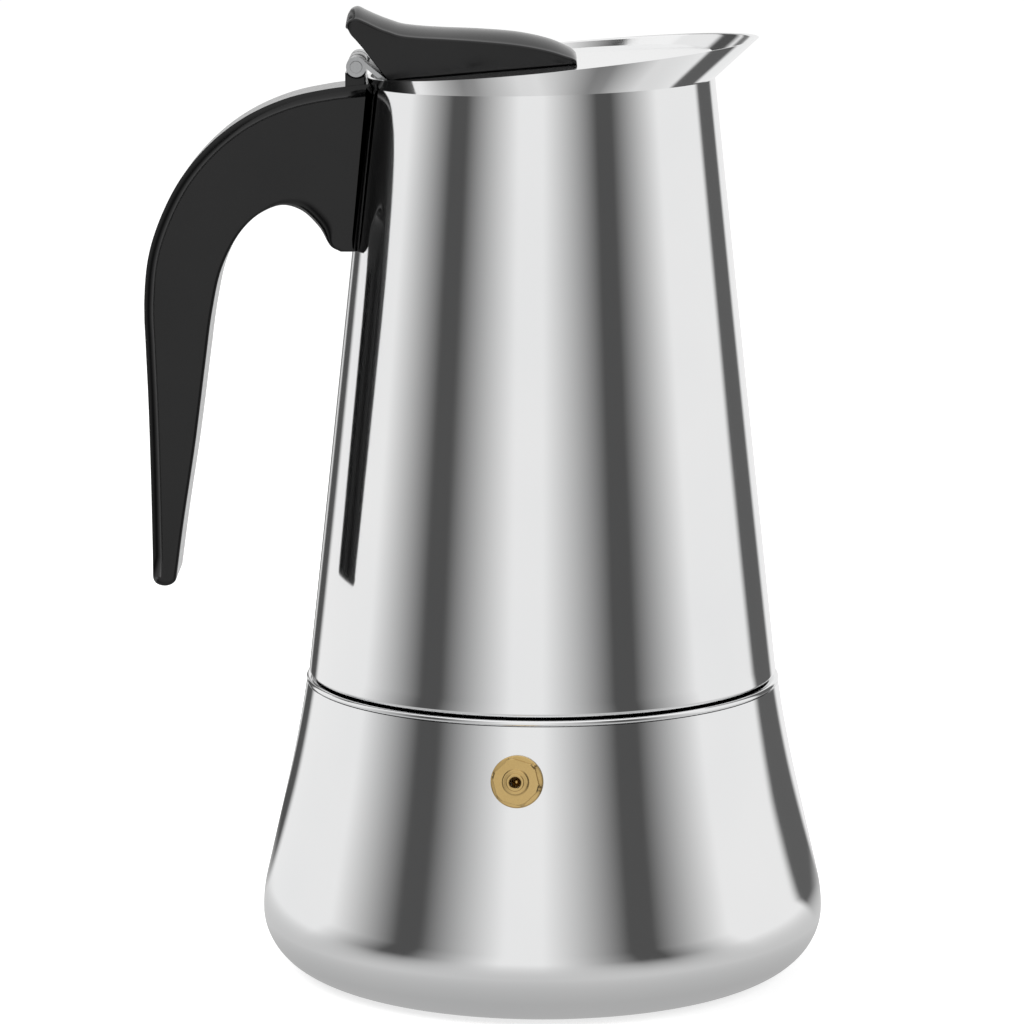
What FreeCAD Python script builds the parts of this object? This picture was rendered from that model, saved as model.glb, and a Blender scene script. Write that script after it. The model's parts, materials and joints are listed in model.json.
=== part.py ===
import FreeCAD, Part
import math
import os

# Stovetop moka pot in polished stainless steel, built piece by piece, in millimetres.
# +Z is up, +X points to the spout, -X to the handle, and the safety valve faces -Y, turned a
# few degrees towards the handle.
# The origin is the centre of the flat base, on the surface the pot stands on.

# ---- boiler -------------------------------------------------------------------------
WIDEST_RADIUS = 59.0          # outer radius of the belly
CORNER_WIDTH = 13.5           # elliptical corner between base and belly, radial half axis
CORNER_HEIGHT = 12.4          # the same corner, vertical half axis
BELLY_RADIUS = 30.3           # convex arc above the widest line
BODY_SLOPE = math.radians(12.85)    # lean of the straight part of the wall
MOUTH_SLOPE = math.radians(8.5)     # lean of the wall at its top edge
FLARE_START = 40.0            # height where the straight wall starts to curve upright
BOILER_HEIGHT = 61.1          # top edge of the boiler wall
BOILER_WALL = 1.0

# ---- screwed joint between boiler and pot --------------------------------------------
NECK_BORE = 41.9              # inner radius of the boiler's neck
NECK_WALL = 1.0
NECK_HEIGHT = 12.4            # neck above the top edge of the boiler wall
FLANGE_THICK = 1.2
FLANGE_PROUD = 0.1            # how far the rounded flange stands out past the boiler wall
THREAD_PITCH = 3.5
RIDGE_HEIGHT = 1.5            # radial height of both thread ridges
RIDGE_WIDTH = 1.3             # axial width of a ridge at its root
RIDGE_CREST = 0.8             # axial width of a ridge at its crest
RIDGE_SINK = 0.2              # how far a ridge reaches into the wall that carries it
THREAD_GAP = 0.6              # radial clearance between crest and root
MALE_TURNS = 2.0
FEMALE_TURNS = 1.75
THREAD_RISE = 4.1             # first turn of the male thread above the boiler wall
SEAM_GAP = 0.4                # open seam between neck flange and pot
COLLAR_GAP = 0.47             # threaded collar inside the pot's wall

# ---- funnel ---------------------------------------------------------------------------
FUNNEL_WALL = 0.8
FUNNEL_PLAY = 0.7             # radial play of the basket in the neck
FUNNEL_RIM = 1.3              # how far the rim reaches past the neck's bore
BASKET_DEPTH = 18.3           # from the rim down to the screen
LEDGE_WIDTH = 1.0             # ledge that carries the screen
CONE_HEIGHT = 13.0
STEM_RADIUS = 5.0
STEM_SOCKET = 6.0
STEM_FLOOR_GAP = 7.0          # open end of the stem above the boiler floor
SCREEN_THICK = 0.6
HOLE_RADIUS = 0.8             # perforations in both filters
HOLE_RINGS = 6
FIT_GAP = 0.02                # parts pressed or welded together
LOOSE_GAP = 0.1               # parts that are slipped together

# ---- gasket and filter plate ------------------------------------------------------------
GASKET_THICK = 3.0
GASKET_BORE = 35.0
GASKET_LEDGE = 1.4            # height of the ledge that carries the filter plate
PLATE_RADIUS = 37.0
PLATE_THICK = 0.6
GASKET_PLAY = 0.3             # radial gap between gasket and thread crest

# ---- pot ----------------------------------------------------------------------------
POT_FOOT_RADIUS = 49.05       # cone radius at the seam
POT_HEIGHT = 123.8            # from the seam to the crease under the collar, over the axis
CREASE_RADIUS = 35.65
CREASE_SLOPE = 0.024          # rise of the crease towards the spout
POT_WALL = 0.8
FOOT_CORNER = 1.0
FOOT_LIP = 3.7                # inward lip that carries the threaded collar
SPOUT_FLARE = 8.85            # rim oval past the crease: towards the spout
REAR_FLARE = 0.55             # towards the handle
SIDE_FLARE = 1.95             # to each side
RIM_RISE = 4.65               # rim above the crease, over the axis
RIM_SLOPE = 0.099             # rise of the rim plane towards the spout
FLOOR_THICK = 0.9
SEAT_WIDTH = 13.0             # flat ring of the floor above the gasket
FLOOR_DOME = 5.3
COLUMN_RADIUS = 6.5
COLUMN_WALL = 0.8
COLUMN_HEIGHT = 65.0
COLUMN_SOCKET = 8.0
CAP_HEIGHT = 10.0
CAP_OVERLAP = 4.0
CAP_SLOTS = 3
CAP_SLOT_WIDTH = 5.0
CAP_SLOT_HEIGHT = 3.0

# ---- lid ----------------------------------------------------------------------------
LID_PLAY = 0.25               # lid inside the pot's narrowest opening
LID_SHIFT = 0.8               # centre of the lid towards the spout
LID_BELOW_RIM = 1.15          # lid surface below the rim plane, over the axis
LID_SLOPE = 0.085
LID_THICK = 0.9
LID_SKIRT = 2.0
LID_EDGE = 0.8
PIN_BACK = 2.35               # hinge pin behind the crease radius
PIN_UP = 3.65                 # hinge pin above the crease
PIN_RADIUS = 1.2
KNUCKLE_RADIUS = 2.06
RUNNING_GAP = 0.06            # play of the knuckles on the pin
SIDE_GAP = 0.4                # play between the knuckles and the lug
HINGE_HALF_WIDTH = 10.5
LUG_HALF_WIDTH = 4.6
STEP_HALF_WIDTH = 7.0         # step of the handle under the knuckles
STEP_REAR = 2.4               # step behind and in front of the pin
STEP_FRONT = 1.7
STEP_DROP = 1.5               # top of the step below the pin
STEP_SINK = 3.0               # root of the step inside the handle, below the crease
STRAP_THICK = 0.9
STRAP_LEAN = math.radians(39.2)
STRAP_INSET = 0.12            # upper face of the strap below the top of the knuckles
STRAP_END = 3.9               # end of the strap's foot, in front of the crease radius
STRAP_FOOT = 0.35             # thickness of the foot welded on the lid
PIN_HEAD = 0.4

# ---- lid knob: stations (distance in front of the heel, then heights above the lid: foot,
# crest at the sides, and crown above the crest) ----------------------------------------
KNOB_HALF_WIDTH = 9.6
KNOB_HEEL = 4.05              # rear end of the knob's foot, in front of the crease radius
KNOB_STATIONS = (
    (-8.6, 11.5, 12.0, 0.9),
    (-8.2, 11.2, 12.5, 1.5),
    (-7.6, 10.7, 13.0, 1.9),
    (-6.4, 9.6, 13.3, 1.9),
    (-4.6, 7.4, 12.5, 1.7),
    (-1.3, 2.2, 10.6, 1.8),
    (0.3, 0.0, 9.9, 1.8),
    (2.5, 0.0, 9.0, 1.8),
    (10.9, 0.0, 7.6, 1.7),
    (18.9, 0.0, 6.4, 1.9),
    (27.0, 0.0, 4.9, 2.0),
    (33.1, 0.0, 3.2, 1.8),
    (37.5, 0.0, 1.4, 1.3),
    (38.6, 0.0, 0.6, 0.6),
)
KNOB_SCREWS = (10.6, 28.6)    # distances in front of the heel
SCREW_RADIUS = 1.5
SCREW_DEPTH = 4.0
SCREW_HEAD_RADIUS = 3.0
SCREW_HEAD_THICK = 1.5

# ---- handle: side outline, as distances behind and below the crease of the pot ----------
HANDLE_HALF_WIDTH = 9.5
HANDLE_TOP = 0.1              # top of the handle below the crease
HANDLE_OUTER = (
    (8.4, 1.1), (16.8, 3.0), (25.1, 6.7), (32.2, 12.0), (38.3, 19.0), (42.7, 27.1),
    (45.5, 35.6), (46.5, 45.5), (46.3, 54.0), (45.9, 66.0), (45.6, 82.0), (45.4, 102.4),
)
HANDLE_INNER = (
    (40.4, 102.4), (38.8, 91.0), (36.1, 74.0), (33.8, 57.0), (32.3, 46.5), (30.2, 37.6), (26.2, 30.1),
    (22.0, 26.3), (17.7, 24.9), (13.8, 26.2), (10.2, 29.7), (7.8, 33.3),
)
FOOT_ROUND = 1.9              # rounded lower end of the grip
HEEL_DROP = 34.4              # lower end of the contact with the pot, below the crease
HEEL_LENGTH = 6.0
SEAT_GAP = 0.05               # handle to pot wall
BRACKET_DROP = 13.5           # top of the strap below the crease
BRACKET_THICK = 3.0
BRACKET_LENGTH = 24.5
BRACKET_HALF_WIDTH = 5.0
PAD_THICK = 1.5
PAD_HALF_WIDTH = 8.0
PAD_HEIGHT = 17.0
HANDLE_SCREW_BACK = 19.8      # screw axis behind the crease radius
HANDLE_SCREW_RADIUS = 1.9
HANDLE_HEAD_RADIUS = 3.2
HANDLE_HEAD_THICK = 2.2
COUNTERBORE = 3.6

# ---- safety valve, measured along its own axis from the boiler's outer wall --------------
VALVE_HEIGHT = 50.3
VALVE_TURN = math.radians(5.65)     # valve turned from the front towards the handle
VALVE_SEAT = 0.08             # flange clear of the curved wall
VALVE_FLANGE_RADIUS = 5.3
VALVE_FLANGE_THICK = 1.2
VALVE_HEX = 8.7               # across flats
HEX_TURN = 44.5               # one corner of the hexagon above the horizontal, in degrees
VALVE_HEX_THICK = 2.2
VALVE_BOSS_RADIUS = 2.55
VALVE_BOSS_THICK = 1.1
VALVE_OUTLET = 1.05
VALVE_SHANK = 3.5
VALVE_DEPTH = 8.2             # inner end behind the outer wall
VALVE_BORE = 2.4
VALVE_WEB = 0.9               # metal left between bore and boss
VALVE_HOLE_PLAY = 0.2
WASHER_RADIUS = 5.0
WASHER_THICK = 1.0
NUT_HEX = 11.0
NUT_THICK = 2.5
SEAT_RING_THICK = 1.0
SEAT_RING_BORE = 1.2
SEAL_RADIUS = 1.8
SEAL_THICK = 0.6
POPPET_RADIUS = 2.1
POPPET_THICK = 0.8
STEM_PLAY = 0.08
PLUNGER_TRAVEL = 1.2
STEM_RECESS = 1.0             # stem still inside the boss when the valve is open
SPRING_RADIUS = 1.65
SPRING_WIRE = 0.2
SPRING_PITCH = 1.4

# ---- heights and radii that follow from the sizes above ----------------------------------
SEAM_Z = BOILER_HEIGHT + FLANGE_THICK + SEAM_GAP
CREASE_Z = SEAM_Z + POT_HEIGHT
NECK_TOP = BOILER_HEIGHT + NECK_HEIGHT
MALE_ROOT = NECK_BORE + NECK_WALL
MALE_CREST = MALE_ROOT + RIDGE_HEIGHT
FEMALE_CREST = MALE_ROOT + THREAD_GAP
FEMALE_ROOT = FEMALE_CREST + RIDGE_HEIGHT
RIM_TOP = NECK_TOP + FUNNEL_WALL
FLOOR_Z = RIM_TOP + GASKET_THICK
RIM_Z = CREASE_Z + RIM_RISE
LID_Z = RIM_Z - LID_BELOW_RIM
LID_RADIUS = CREASE_RADIUS - POT_WALL - LID_PLAY
HEEL_X = -(CREASE_RADIUS - KNOB_HEEL)
TOE_X = -(CREASE_RADIUS - STRAP_END)
SCREW_PLACES = [HEEL_X + distance for distance in KNOB_SCREWS]
PIN_X = -(CREASE_RADIUS + PIN_BACK)
PIN_Z = CREASE_Z + PIN_UP
BASKET_RADIUS = NECK_BORE - FUNNEL_PLAY
SCREEN_Z = RIM_TOP - BASKET_DEPTH
STEM_TOP = SCREEN_Z - CONE_HEIGHT
UP = FreeCAD.Vector(0, 0, 1)


def vec(x, y, z):
    return FreeCAD.Vector(x, y, z)


def line(a, b):
    return Part.LineSegment(vec(a[0], 0, a[1]), vec(b[0], 0, b[1])).toShape()


def arc(a, middle, b):
    points = [vec(p[0], 0, p[1]) for p in (a, middle, b)]
    return Part.Arc(*points).toShape()


def spun(edges):
    """Solid of revolution about Z from edges in the XZ plane."""
    face = Part.Face(Part.Wire(edges))
    return face.revolve(vec(0, 0, 0), UP, 360)


def spun_outline(points):
    closed = list(points) + [points[0]]
    return spun([line(closed[i], closed[i + 1]) for i in range(len(points))])


def tube(outer, inner, low, high):
    body = Part.makeCylinder(outer, high - low, vec(0, 0, low))
    return body.cut(Part.makeCylinder(inner, high - low, vec(0, 0, low)))


def box(x0, x1, half_width, z0, z1):
    return Part.makeBox(x1 - x0, 2 * half_width, z1 - z0, vec(x0, -half_width, z0))


def hexagon(flats, low, high):
    radius = flats / math.sqrt(3)
    corners = [vec(radius * math.cos(k * math.pi / 3), radius * math.sin(k * math.pi / 3), low)
               for k in range(7)]
    return Part.Face(Part.makePolygon(corners)).extrude(vec(0, 0, high - low))


def cross_bar(radius, half_width, x, z):
    """Round bar along Y."""
    return Part.makeCylinder(radius, 2 * half_width, vec(x, -half_width, z), vec(0, 1, 0))


def pot_radius(z):
    """Outer radius of the pot's cone at a height."""
    return POT_FOOT_RADIUS - (POT_FOOT_RADIUS - CREASE_RADIUS) * (z - SEAM_Z) / POT_HEIGHT


def collar_outer():
    """Outer radius of the threaded collar, clear of the pot's wall at its upper end."""
    return pot_radius(FLOOR_Z) - POT_WALL - COLLAR_GAP


def lid_top(x):
    return LID_Z + LID_SLOPE * x


# ---- boiler pieces ----------------------------------------------------------------------
def flare_centre():
    """Centre and radius of the concave arc that ends the boiler wall."""
    radius = (BOILER_HEIGHT - FLARE_START) / (math.sin(BODY_SLOPE) - math.sin(MOUTH_SLOPE))
    belly_top = CORNER_HEIGHT + BELLY_RADIUS * math.sin(BODY_SLOPE)
    belly_r = WIDEST_RADIUS - BELLY_RADIUS * (1 - math.cos(BODY_SLOPE))
    start_r = belly_r - (FLARE_START - belly_top) * math.tan(BODY_SLOPE)
    centre_r = start_r + radius * math.cos(BODY_SLOPE)
    centre_z = FLARE_START + radius * math.sin(BODY_SLOPE)
    return centre_r, centre_z, radius


def boiler_form(inset):
    """Solid bounded by the boiler's outer surface moved inwards by inset."""
    base_r = WIDEST_RADIUS - CORNER_WIDTH
    corner_c = vec(base_r, 0, CORNER_HEIGHT)
    widest = vec(WIDEST_RADIUS - inset, 0, CORNER_HEIGHT)
    lowest = vec(base_r, 0, inset)
    quarter = Part.ArcOfEllipse(Part.Ellipse(widest, lowest, corner_c), 0, math.pi / 2)
    belly_c = WIDEST_RADIUS - BELLY_RADIUS
    belly_r = BELLY_RADIUS - inset

    def belly(angle):
        return belly_c + belly_r * math.cos(angle), CORNER_HEIGHT + belly_r * math.sin(angle)

    centre_r, centre_z, flare = flare_centre()
    flare = flare + inset

    def flare_point(angle):
        return centre_r - flare * math.cos(angle), centre_z - flare * math.sin(angle)

    mouth = math.asin((centre_z - BOILER_HEIGHT) / flare)
    top = flare_point(mouth)
    edges = [
        line((0, inset), (base_r, inset)),
        quarter.toShape(),
        arc(belly(0), belly(BODY_SLOPE / 2), belly(BODY_SLOPE)),
        line(belly(BODY_SLOPE), flare_point(BODY_SLOPE)),
        arc(flare_point(BODY_SLOPE), flare_point((BODY_SLOPE + mouth) / 2), top),
        line(top, (0, BOILER_HEIGHT)),
        line((0, BOILER_HEIGHT), (0, inset)),
    ]
    return spun(edges)


def boiler_mouth():
    """Outer radius of the boiler wall at its top edge."""
    centre_r, centre_z, flare = flare_centre()
    return centre_r - math.sqrt(flare ** 2 - (centre_z - BOILER_HEIGHT) ** 2)


def valve_frame(shape):
    """Move a shape from the valve's own axis (+Z, origin on the wall) to its place."""
    centre_r, centre_z, flare = flare_centre()
    lean = math.asin((centre_z - VALVE_HEIGHT) / flare)
    wall_r = centre_r - flare * math.cos(lean)
    turned = shape.copy()
    turned.rotate(vec(0, 0, 0), vec(1, 0, 0), 90 - math.degrees(lean))
    turned.translate(vec(0, -wall_r, VALVE_HEIGHT))
    turned.rotate(vec(0, 0, 0), UP, -math.degrees(VALVE_TURN))
    return turned


def make_boiler_shell():
    shell = boiler_form(0).cut(boiler_form(BOILER_WALL))
    low = vec(0, 0, -3 * BOILER_WALL)
    hole = Part.makeCylinder(VALVE_SHANK + VALVE_HOLE_PLAY, 4 * BOILER_WALL, low)
    return shell.cut(valve_frame(hole))


def thread_ridge(root, crest, start_z, turns):
    """Helical ridge; it stands out when crest is beyond root and inwards otherwise."""
    side = 1 if crest > root else -1
    foot = root - side * RIDGE_SINK
    corners = [
        vec(foot, 0, start_z - RIDGE_WIDTH / 2),
        vec(crest, 0, start_z - RIDGE_CREST / 2),
        vec(crest, 0, start_z + RIDGE_CREST / 2),
        vec(foot, 0, start_z + RIDGE_WIDTH / 2),
    ]
    profile = Part.makePolygon(corners + corners[:1])
    helix = Part.makeHelix(THREAD_PITCH, THREAD_PITCH * turns, root)
    helix.translate(vec(0, 0, start_z))
    return Part.Wire(helix.Edges).makePipeShell([profile], True, True)


def make_neck_ring():
    low = BOILER_HEIGHT
    high = low + FLANGE_THICK
    edge = FLANGE_THICK / 2
    lip = boiler_mouth() + FLANGE_PROUD
    ring = spun([
        line((NECK_BORE, low), (lip - edge, low)),
        arc((lip - edge, low), (lip, low + edge), (lip - edge, high)),
        line((lip - edge, high), (MALE_ROOT, high)),
        line((MALE_ROOT, high), (MALE_ROOT, NECK_TOP)),
        line((MALE_ROOT, NECK_TOP), (NECK_BORE, NECK_TOP)),
        line((NECK_BORE, NECK_TOP), (NECK_BORE, low)),
    ])
    return ring.fuse(thread_ridge(MALE_ROOT, MALE_CREST, low + THREAD_RISE, MALE_TURNS))


# ---- safety valve pieces ----------------------------------------------------------------
def make_valve_body():
    hex_low = VALVE_SEAT + VALVE_FLANGE_THICK
    hex_high = hex_low + VALVE_HEX_THICK
    boss_high = hex_high + VALVE_BOSS_THICK
    body = Part.makeCylinder(VALVE_SHANK, VALVE_DEPTH + VALVE_SEAT, vec(0, 0, -VALVE_DEPTH))
    body = body.fuse(Part.makeCylinder(VALVE_FLANGE_RADIUS, VALVE_FLANGE_THICK, vec(0, 0, VALVE_SEAT)))
    nut = hexagon(VALVE_HEX, hex_low, hex_high)
    nut.rotate(vec(0, 0, 0), UP, HEX_TURN)
    body = body.fuse(nut)
    body = body.fuse(Part.makeCylinder(VALVE_BOSS_RADIUS, VALVE_BOSS_THICK, vec(0, 0, hex_high)))
    bore_length = VALVE_DEPTH + hex_high - VALVE_WEB
    body = body.cut(Part.makeCylinder(VALVE_BORE, bore_length, vec(0, 0, -VALVE_DEPTH)))
    body = body.cut(Part.makeCylinder(VALVE_OUTLET, boss_high + VALVE_DEPTH, vec(0, 0, -VALVE_DEPTH)))
    return valve_frame(body.removeSplitter())


def wall_sag():
    """Depth of the curved inner wall across the washer."""
    return WASHER_RADIUS ** 2 / (2 * (pot_side_radius() - BOILER_WALL))


def pot_side_radius():
    centre_r, centre_z, flare = flare_centre()
    return centre_r - math.sqrt(flare ** 2 - (centre_z - VALVE_HEIGHT) ** 2)


def washer_low():
    return -(BOILER_WALL + wall_sag() + VALVE_SEAT + WASHER_THICK)


def make_valve_washer():
    low = washer_low()
    return valve_frame(tube(WASHER_RADIUS, VALVE_SHANK + FIT_GAP, low, low + WASHER_THICK))


def make_valve_nut():
    high = washer_low()
    nut = hexagon(NUT_HEX, high - NUT_THICK, high)
    bore = Part.makeCylinder(VALVE_SHANK + FIT_GAP, NUT_THICK, vec(0, 0, high - NUT_THICK))
    return valve_frame(nut.cut(bore))


def make_valve_seat_ring():
    return valve_frame(tube(VALVE_BORE - FIT_GAP, SEAT_RING_BORE,
                            -VALVE_DEPTH, -VALVE_DEPTH + SEAT_RING_THICK))


def poppet_low():
    return -VALVE_DEPTH + SEAT_RING_THICK + SEAL_THICK


def make_valve_seal():
    low = poppet_low() - SEAL_THICK
    return valve_frame(Part.makeCylinder(SEAL_RADIUS, SEAL_THICK, vec(0, 0, low)))


def valve_tip():
    """Outer face of the boss along the valve's axis."""
    return VALVE_SEAT + VALVE_FLANGE_THICK + VALVE_HEX_THICK + VALVE_BOSS_THICK


def make_valve_plunger():
    low = poppet_low()
    stem_high = valve_tip() - PLUNGER_TRAVEL - STEM_RECESS
    poppet = Part.makeCylinder(POPPET_RADIUS, POPPET_THICK, vec(0, 0, low))
    stem = Part.makeCylinder(VALVE_OUTLET - STEM_PLAY, stem_high - low, vec(0, 0, low))
    return valve_frame(poppet.fuse(stem).removeSplitter())


def make_valve_spring():
    low = poppet_low() + POPPET_THICK + SPRING_WIRE + FIT_GAP
    high = valve_tip() - VALVE_BOSS_THICK - VALVE_WEB - SPRING_WIRE - FIT_GAP
    helix = Part.makeHelix(SPRING_PITCH, high - low, SPRING_RADIUS)
    section = Part.Wire(Part.makeCircle(SPRING_WIRE, vec(SPRING_RADIUS, 0, 0), vec(0, 1, 0)))
    coil = Part.Wire(helix.Edges).makePipeShell([section], True, True)
    coil.translate(vec(0, 0, low))
    return valve_frame(coil)


# ---- funnel and filters -----------------------------------------------------------------
def perforated(disc, low, thick, first_ring, ring_step):
    """Disc with rings of small holes."""
    holes = []
    for ring in range(HOLE_RINGS):
        radius = first_ring + ring * ring_step
        count = 6 * (ring + 1)
        for k in range(count):
            angle = 2 * math.pi * k / count
            place = vec(radius * math.cos(angle), radius * math.sin(angle), low - thick)
            holes.append(Part.makeCylinder(HOLE_RADIUS, 3 * thick, place))
    return disc.cut(Part.makeCompound(holes))


def make_funnel_basket():
    inner = BASKET_RADIUS - FUNNEL_WALL
    ledge = inner - LEDGE_WIDTH
    socket = STEM_RADIUS + FIT_GAP
    return spun_outline([
        (NECK_BORE + FUNNEL_RIM, NECK_TOP),
        (NECK_BORE + FUNNEL_RIM, RIM_TOP),
        (inner, RIM_TOP),
        (inner, SCREEN_Z),
        (ledge, SCREEN_Z),
        (socket, STEM_TOP),
        (socket, STEM_TOP - STEM_SOCKET),
        (socket + FUNNEL_WALL, STEM_TOP - STEM_SOCKET),
        (socket + FUNNEL_WALL, STEM_TOP - FUNNEL_WALL),
        (BASKET_RADIUS, SCREEN_Z - FUNNEL_WALL),
        (BASKET_RADIUS, NECK_TOP),
    ])


def make_funnel_stem():
    return tube(STEM_RADIUS, STEM_RADIUS - FUNNEL_WALL, BOILER_WALL + STEM_FLOOR_GAP, STEM_TOP)


def make_funnel_screen():
    radius = BASKET_RADIUS - FUNNEL_WALL - LOOSE_GAP
    disc = Part.makeCylinder(radius, SCREEN_THICK, vec(0, 0, SCREEN_Z))
    step = radius / (HOLE_RINGS + 0.5)
    return perforated(disc, SCREEN_Z, SCREEN_THICK, step, step)


def make_gasket():
    outer = FEMALE_CREST - GASKET_PLAY
    rebate = PLATE_RADIUS + LOOSE_GAP
    shelf = RIM_TOP + GASKET_LEDGE
    return spun_outline([
        (GASKET_BORE, RIM_TOP), (outer, RIM_TOP), (outer, FLOOR_Z), (rebate, FLOOR_Z),
        (rebate, shelf), (GASKET_BORE, shelf),
    ])


def make_filter_plate():
    low = RIM_TOP + GASKET_LEDGE
    disc = Part.makeCylinder(PLATE_RADIUS, PLATE_THICK, vec(0, 0, low))
    step = GASKET_BORE / (HOLE_RINGS + 0.5)
    return perforated(disc, low, PLATE_THICK, step, step)


# ---- pot pieces -------------------------------------------------------------------------
def oval(front, rear, half_width, centre_z, slope):
    """Closed outline of two half ellipses that meet over the axis, in a tilted plane."""
    edges = []
    for reach, start in ((front, -90), (rear, 90)):
        half = Part.makeCircle(1, vec(0, 0, 0), UP, start, start + 180)
        spread = FreeCAD.Matrix(reach, 0, 0, 0,
                                0, half_width, 0, 0,
                                slope * reach, 0, 1, centre_z,
                                0, 0, 0, 1)
        edges.append(half.transformGeometry(spread))
    return Part.Wire(edges)


def wall_form(inset, low):
    """Solid inside the pot's outer surface moved inwards: cone to the crease, then the collar."""
    foot = pot_radius(low) - inset
    taper = CREASE_SLOPE * (POT_FOOT_RADIUS - CREASE_RADIUS) / POT_HEIGHT
    crease_front = CREASE_RADIUS / (1 + taper) - inset
    crease_rear = CREASE_RADIUS / (1 - taper) - inset
    sections = [
        oval(foot, foot, foot, low, 0),
        oval(crease_front, crease_rear, CREASE_RADIUS - inset, CREASE_Z, CREASE_SLOPE),
        oval(CREASE_RADIUS + SPOUT_FLARE - inset, CREASE_RADIUS + REAR_FLARE - inset,
             CREASE_RADIUS + SIDE_FLARE - inset, RIM_Z, RIM_SLOPE),
    ]
    return Part.makeLoft(sections, True, True)


def make_pot_shell():
    corner = FOOT_CORNER
    foot = SEAM_Z + corner
    lip = POT_FOOT_RADIUS - FOOT_LIP
    turn = corner * (1 - math.sqrt(0.5))
    outer_r = pot_radius(foot)
    base = spun([
        line((0, SEAM_Z), (outer_r - corner, SEAM_Z)),
        arc((outer_r - corner, SEAM_Z), (outer_r - turn, SEAM_Z + turn), (outer_r, foot)),
        line((outer_r, foot), (0, foot)),
        line((0, foot), (0, SEAM_Z)),
    ])
    shell = wall_form(0, foot).fuse(base)
    shell = shell.cut(wall_form(POT_WALL, SEAM_Z + POT_WALL))
    return shell.cut(Part.makeCylinder(lip, 2 * POT_WALL, vec(0, 0, SEAM_Z - POT_WALL / 2)))


def make_thread_collar():
    low = SEAM_Z + POT_WALL
    body = tube(collar_outer(), FEMALE_ROOT, low, FLOOR_Z)
    start = BOILER_HEIGHT + THREAD_RISE + THREAD_PITCH / 2
    return body.fuse(thread_ridge(FEMALE_ROOT, FEMALE_CREST, start, FEMALE_TURNS))


def make_pot_floor():
    outer = pot_radius(FLOOR_Z + FLOOR_THICK) - POT_WALL - LOOSE_GAP
    seat = collar_outer() - SEAT_WIDTH
    socket = COLUMN_RADIUS + FIT_GAP
    shoulder = FLOOR_Z + FLOOR_DOME
    neck = socket + FLOOR_THICK
    return spun_outline([
        (seat, FLOOR_Z), (outer, FLOOR_Z), (outer, FLOOR_Z + FLOOR_THICK),
        (seat, FLOOR_Z + FLOOR_THICK),
        (neck, shoulder + FLOOR_THICK), (neck, shoulder + COLUMN_SOCKET),
        (socket, shoulder + COLUMN_SOCKET), (socket, shoulder + FLOOR_THICK),
        (COLUMN_RADIUS - COLUMN_WALL, shoulder + FLOOR_THICK), (COLUMN_RADIUS - COLUMN_WALL, shoulder),
    ])


def column_low():
    return FLOOR_Z + FLOOR_DOME + FLOOR_THICK


def make_column():
    low = column_low()
    return tube(COLUMN_RADIUS, COLUMN_RADIUS - COLUMN_WALL, low, low + COLUMN_HEIGHT)


def make_column_cap():
    top = column_low() + COLUMN_HEIGHT
    inner = COLUMN_RADIUS + LOOSE_GAP
    outer = inner + COLUMN_WALL
    low = top - CAP_OVERLAP
    cap = Part.makeCylinder(outer, CAP_HEIGHT, vec(0, 0, low))
    cap = cap.makeFillet(COLUMN_WALL, [cap.Edges[0]])
    cap = cap.cut(Part.makeCylinder(inner, CAP_HEIGHT - COLUMN_WALL, vec(0, 0, low)))
    for k in range(CAP_SLOTS):
        slot = Part.makeBox(2 * outer, CAP_SLOT_WIDTH, CAP_SLOT_HEIGHT,
                            vec(0, -CAP_SLOT_WIDTH / 2, top + LOOSE_GAP))
        slot.rotate(vec(0, 0, 0), UP, 360 * k / CAP_SLOTS)
        cap = cap.cut(slot)
    return cap


# ---- handle -----------------------------------------------------------------------------
def behind(distance, drop):
    """Point in the XZ plane, behind and below the crease on the handle's side."""
    return vec(-(CREASE_RADIUS + distance), 0, CREASE_Z - drop)


def pot_core(gap):
    """Solid that fills the outside of the pot, grown by a gap."""
    return wall_form(-gap, SEAM_Z)


def smooth(points):
    curve = Part.BSplineCurve()
    curve.interpolate(points)
    return curve.toShape()


def handle_slab():
    outer = [behind(0, HANDLE_TOP)] + [behind(*p) for p in HANDLE_OUTER]
    inner = [behind(*p) for p in HANDLE_INNER]
    heel_outer = behind(HEEL_LENGTH, HEEL_DROP)
    heel_inner = behind(0, HEEL_DROP)
    core_low = vec(0, 0, heel_inner.z)
    core_high = vec(0, 0, outer[0].z)
    foot_depth = HANDLE_INNER[0][1] + FOOT_ROUND
    foot_mid = behind((HANDLE_OUTER[-1][0] + HANDLE_INNER[0][0]) / 2, foot_depth)
    edges = [
        Part.LineSegment(core_high, outer[0]).toShape(),
        smooth(outer),
        Part.Arc(outer[-1], foot_mid, inner[0]).toShape(),
        smooth(inner),
        Part.LineSegment(inner[-1], heel_outer).toShape(),
        Part.LineSegment(heel_outer, core_low).toShape(),
        Part.LineSegment(core_low, core_high).toShape(),
    ]
    face = Part.Face(Part.Wire(edges))
    slab = face.extrude(vec(0, 2 * HANDLE_HALF_WIDTH, 0))
    slab.translate(vec(0, -HANDLE_HALF_WIDTH, 0))
    return slab


def hinge_lug():
    """Eye between the knuckles, on a step of the handle that runs under them."""
    rear = PIN_X - KNUCKLE_RADIUS
    front = PIN_X + STEP_FRONT
    eye = cross_bar(KNUCKLE_RADIUS, LUG_HALF_WIDTH, PIN_X, PIN_Z)
    root = box(rear, front, LUG_HALF_WIDTH, CREASE_Z - HANDLE_TOP, PIN_Z)
    step = box(PIN_X - STEP_REAR, front, STEP_HALF_WIDTH, CREASE_Z - STEP_SINK, PIN_Z - STEP_DROP)
    step = step.cut(cross_bar(KNUCKLE_RADIUS + SIDE_GAP, STEP_HALF_WIDTH, PIN_X, PIN_Z))
    return eye.fuse(root).fuse(step)


def bracket_low():
    return CREASE_Z - BRACKET_DROP - BRACKET_THICK


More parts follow.
